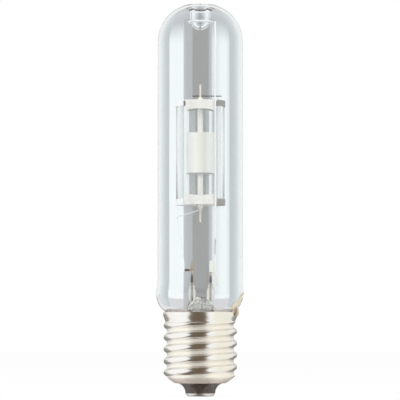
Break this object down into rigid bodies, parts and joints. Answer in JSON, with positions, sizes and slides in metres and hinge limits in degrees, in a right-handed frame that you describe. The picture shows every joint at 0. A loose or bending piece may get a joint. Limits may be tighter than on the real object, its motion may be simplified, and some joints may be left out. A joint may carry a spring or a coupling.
{
  "type": "metal halide lamp",
  "caption": "Tubular discharge lamp: clear bulb with a shrouded ceramic arc tube on a wire frame, and a large screw cap with a centre contact.",
  "frame": {"origin": "centre of the flat underside of the centre contact", "axes": "+Z along the lamp's axis towards the dome; -Y is the side that faces the viewer"},
  "size_m": [0.0476, 0.0476, 0.211],
  "materials": {
    "clear_glass": "clear, glossy",
    "stem_glass": "clear, bubbled at the press",
    "quartz": "clear, glossy",
    "lead_wire": "satin, heat tinted",
    "cap_metal": "bright, warm",
    "black_glass": "glossy black glass",
    "contact_metal": "satin",
    "solder": "dull, flux stained",
    "cement": "matt",
    "thin_lead": "drawn",
    "frame_nickel": "satin",
    "dark_link": "dark, matt",
    "getter": "satin, yellowish",
    "end_cap_metal": "bright satin",
    "alumina": "translucent white",
    "frit": "matt",
    "niobium": "satin",
    "tungsten": "dark grey",
    "halide": "glassy"
  },
  "bodies": {
    "root": {"outer_bulb": "clear_glass", "stem_glass": "stem_glass", "exhaust_tube": "stem_glass", "shroud": "quartz", "stem_lead_left": "lead_wire", "stem_lead_right": "lead_wire", "screw_shell": "cap_metal", "base_insulator": "black_glass", "centre_contact": "contact_metal", "centre_solder": "solder", "side_solder": "solder", "basing_cement": "cement", "centre_lead": "thin_lead", "side_lead": "thin_lead", "frame_rod": "frame_nickel", "dimple_ring": "frame_nickel", "upper_link": "dark_link", "lead_bar": "dark_link", "return_wire": "frame_nickel", "weld_tab": "frame_nickel", "getter_strip": "getter", "shroud_cap_top": "end_cap_metal", "shroud_cap_bottom": "end_cap_metal", "arc_tube_body": "alumina", "end_disc_top": "alumina", "end_disc_bottom": "alumina", "capillary_top": "alumina", "capillary_bottom": "alumina", "frit_seal_top": "frit", "frit_seal_bottom": "frit", "lead_in_top": "niobium", "lead_in_bottom": "niobium", "electrode_top": "tungsten", "electrode_bottom": "tungsten", "halide_dose": "halide"}
  },
  "joints": []
}
